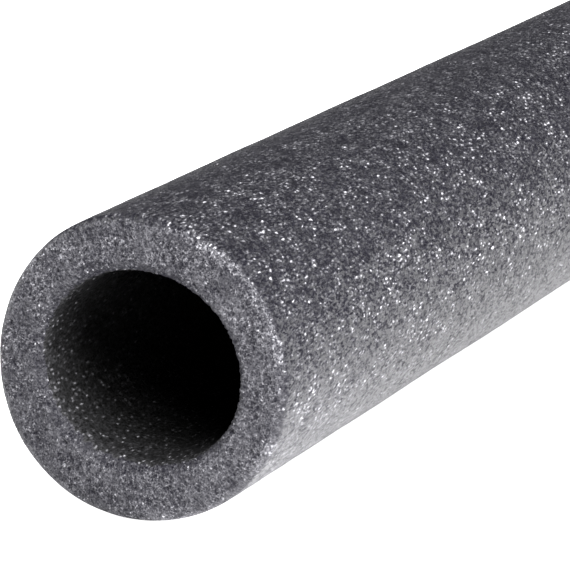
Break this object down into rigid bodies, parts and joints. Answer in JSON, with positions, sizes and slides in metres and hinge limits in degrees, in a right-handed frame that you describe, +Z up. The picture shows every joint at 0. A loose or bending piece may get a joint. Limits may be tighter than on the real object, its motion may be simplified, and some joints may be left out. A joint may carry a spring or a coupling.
{
  "type": "pipe insulation tube",
  "caption": "Straight grey closed-cell foam lagging tube with a thick wall, a round bore for a pipe and square-cut ends.",
  "frame": {"origin": "under the middle of the tube's length, on the floor that it lies on", "axes": "+X along the tube's bore, +Z up; the tube lies on its side"},
  "size_m": [1, 0.053, 0.053],
  "materials": {
    "foam": "dark grey closed-cell polyethylene foam, with a fine skin of small cells that glint and lighter, open cells on the cut ends"
  },
  "bodies": {
    "root": {"foam_tube": "foam"}
  },
  "joints": []
}
